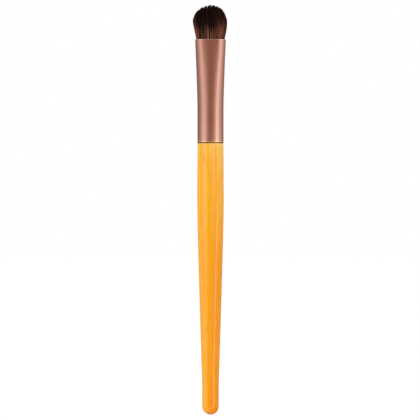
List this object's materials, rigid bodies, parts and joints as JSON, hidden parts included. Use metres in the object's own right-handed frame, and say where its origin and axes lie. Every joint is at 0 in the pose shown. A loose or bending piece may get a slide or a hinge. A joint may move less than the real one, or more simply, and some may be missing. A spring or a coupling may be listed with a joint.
{
  "type": "eyeshadow brush",
  "caption": "Slim eyeshadow brush: tapered bamboo handle with a round tail, metal ferrule pressed to an oval mouth, and a short domed dark tuft that flexes.",
  "frame": {"origin": "tip of the rounded tail, on the handle's axis", "axes": "+Z along the handle from the tail to the tuft, X across the wide side of the ferrule's oval mouth, -Y towards the side that the picture shows"},
  "size_m": [0.0124, 0.0098, 0.15],
  "materials": {
    "lacquered_bamboo": "gloss",
    "anodised_metal": "satin",
    "cured_adhesive": "gloss",
    "filament": "satin",
    "thread": "matte"
  },
  "bodies": {
    "handle_body": {"handle": "lacquered_bamboo", "ferrule": "anodised_metal", "handle_glue": "cured_adhesive", "root_glue_plug": "cured_adhesive", "filament_roots": "filament", "binding_thread": "thread"},
    "tuft": {"bristle_tuft": "filament"}
  },
  "joints": [
    {"name": "tuft_flex", "type": "hinge", "parent": "handle_body", "child": "tuft", "pos_m": [0, 0, 0.13835], "axis": [1, 0, 0], "range_deg": [-20, 20], "stiffness_Nm_per_rad": 0.008}
  ]
}
